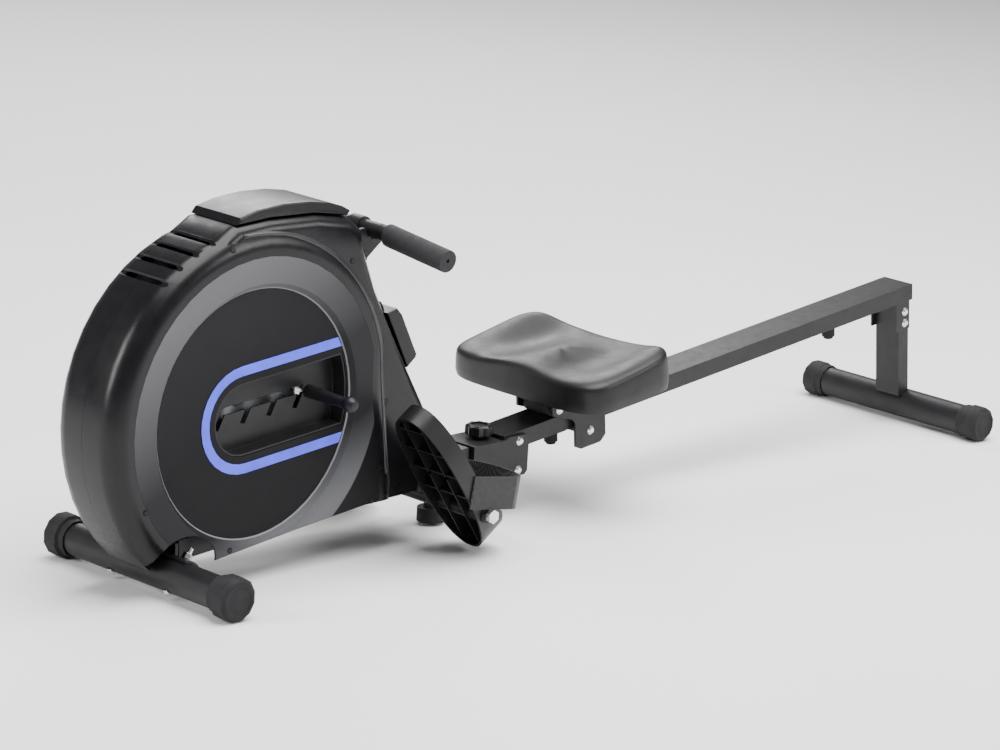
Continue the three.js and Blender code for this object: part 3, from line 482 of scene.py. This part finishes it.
def on_side(tree, side, x, z):
    """Point and outward normal of the housing's side surface over x, z."""
    sign = SIDES[side]
    hit, normal, _, _ = tree.ray_cast(Vector((x, sign * REACH, z)), Vector((0, -sign, 0)), 2 * REACH)
    if hit is None or hit.y * sign < 0.02:
        return None, None
    return hit, normal if normal.y * sign > 0 else -normal


BAND_START = 98
BAND_SWEEP = 84
BAND_RADIUS = 268
BAND_NARROWING = 16
BAND_DROP = 130
BAND_ARC_STEPS = 44
BAND_STRAIGHT_STEPS = 14
BAND_HALF_START = 2.6
BAND_HALF_GAIN = 3.4


def band_path():
    """An arc round the hub, in degrees and millimetres, and then a straight run down the flank."""
    path = []
    for i in range(BAND_ARC_STEPS + 1):
        t = i / BAND_ARC_STEPS
        angle = math.radians(BAND_START - BAND_SWEEP * t)
        radius = (BAND_RADIUS - BAND_NARROWING * t) * MM
        path.append(HUB + Vector((radius * math.cos(angle), 0, radius * math.sin(angle))))
    foot = HUB + Vector((BAND_RADIUS * MM, 0, -BAND_DROP * MM))
    top = path[-1]
    steps = BAND_STRAIGHT_STEPS
    return path + [top.lerp(foot, (i + 1) / steps) for i in range(steps)]


def accent_band(side):
    """Low ridge that sweeps from the hood over the ring and down the rear edge of the flank."""
    tree = tree_of(f"housing_{side}", f"side_panel_{side}")
    path = band_path()
    rows = []
    for i, point in enumerate(path):
        ahead = path[min(i + 1, len(path) - 1)] - path[max(i - 1, 0)]
        across = Vector((-ahead.z, 0, ahead.x)).normalized()
        half = (BAND_HALF_START + BAND_HALF_GAIN * i / len(path)) * MM
        row = []
        for k in (-1, -0.5, 0, 0.5, 1):
            place = point + across * half * k
            hit, normal = on_side(tree, side, place.x, place.z)
            if hit is None:
                break
            row.append(hit + normal * (0.9 - 0.6 * abs(k)) * MM)
        if len(row) == 5:
            rows.append(row)
    if len(rows) > 4:
        strip(f"accent_band_{side}", rows, 0.5 * MM, BAND, "frame")


WELL_R = 4.4 * MM
HEAD_R = 2.6 * MM


def screw_recess(side, index, x, z):
    tree = tree_of(f"housing_{side}", f"side_panel_{side}")
    hit, normal = on_side(tree, side, x, z)
    if hit is None:
        return
    lying_disc(f"screw_well_{side}_{index}", hit + normal * 0.25 * MM, normal, WELL_R, 0.5 * MM,
               DARK, "frame")
    lying_disc(f"screw_head_{side}_{index}", hit + normal * 0.5 * MM, normal, HEAD_R, 0.8 * MM,
               LOOKS["trim_black"], "frame", 6)


# Where the housing screws sit, in millimetres from the hub
SCREWS = ((-208, -112), (-44, -196), (236, -168), (262, -20), (178, 205), (-60, 250))
for side in SIDES:
    accent_band(side)
    for i, (dx, dz) in enumerate(SCREWS):
        screw_recess(side, i, HUB.x + dx * MM, HUB.z + dz * MM)


# The console's face leans back by this run over this rise
FACE_RUN = 102
FACE_RISE = 191
GLASS_ABOVE_BUTTON = 32 * MM
GLASS_HEIGHT = 30 * MM
GLASS_WIDTH = 62 * MM
GLASS_STEPS = 6


def display():
    """Glass of the counter, set in the console above its button."""
    low, high = (Vector(p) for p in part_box("console_button"))
    centre = (low + high) / 2
    lean = math.atan2(FACE_RUN, FACE_RISE)
    out = Vector((math.cos(lean), 0, math.sin(lean)))
    along = Vector((-math.sin(lean), 0, math.cos(lean)))
    middle = centre + along * GLASS_ABOVE_BUTTON + out * 1.9 * MM
    shares = [i / GLASS_STEPS - 0.5 for i in range(GLASS_STEPS + 1)]
    rows = []
    for share in shares:
        up = along * share * GLASS_HEIGHT
        rows.append([middle + up + Vector((0, k * GLASS_WIDTH, 0)) for k in shares])
    strip("counter_glass", rows, 1.2 * MM, SCREEN.material, "frame")


display()


# ---------------------------------------------------------------- floor and light
def floor():
    bm = bmesh.new()
    bmesh.ops.create_grid(bm, x_segments=1, y_segments=1, size=30)
    mesh = bpy.data.meshes.new("floor")
    bm.to_mesh(mesh)
    bm.free()
    piece = bpy.data.objects.new("floor", mesh)
    scene.collection.objects.link(piece)
    piece.location.z = -0.0005
    look = Shader("floor_paint")
    look.colours(look.noise(0.8), (0.86, 0.86, 0.865), (0.9, 0.9, 0.905))
    look.spread(look.noise(3), 0.75, 0.85, "Roughness")
    mesh.materials.append(look.material)


def softbox(name, place, aim, width, height, power):
    data = bpy.data.lights.new(name, "AREA")
    data.shape = "RECTANGLE"
    data.size, data.size_y, data.energy = width, height, power
    lamp = bpy.data.objects.new(name, data)
    scene.collection.objects.link(lamp)
    lamp.location = place
    lamp.rotation_euler = (Vector(aim) - Vector(place)).to_track_quat("-Z", "Y").to_euler()


def lights():
    world = bpy.data.worlds.new("studio")
    scene.world = world
    world.use_nodes = True
    background = world.node_tree.nodes["Background"]
    background.inputs["Color"].default_value = (1, 1, 1, 1)
    background.inputs["Strength"].default_value = 0.32
    middle = (0, 0, 0.25)
    softbox("front_strip", (-4.2, 1.2, 1.9), (-0.7, 0, 0.3), 0.9, 2.2, 130)
    softbox("top_box", (0.2, -0.6, 3.8), middle, 4.2, 3.2, 400)
    softbox("side_box", (2.6, -3.8, 2.3), middle, 2.0, 1.6, 110)
    softbox("rear_box", (2.4, 3.4, 2.6), middle, 2.2, 1.6, 90)


floor()
lights()
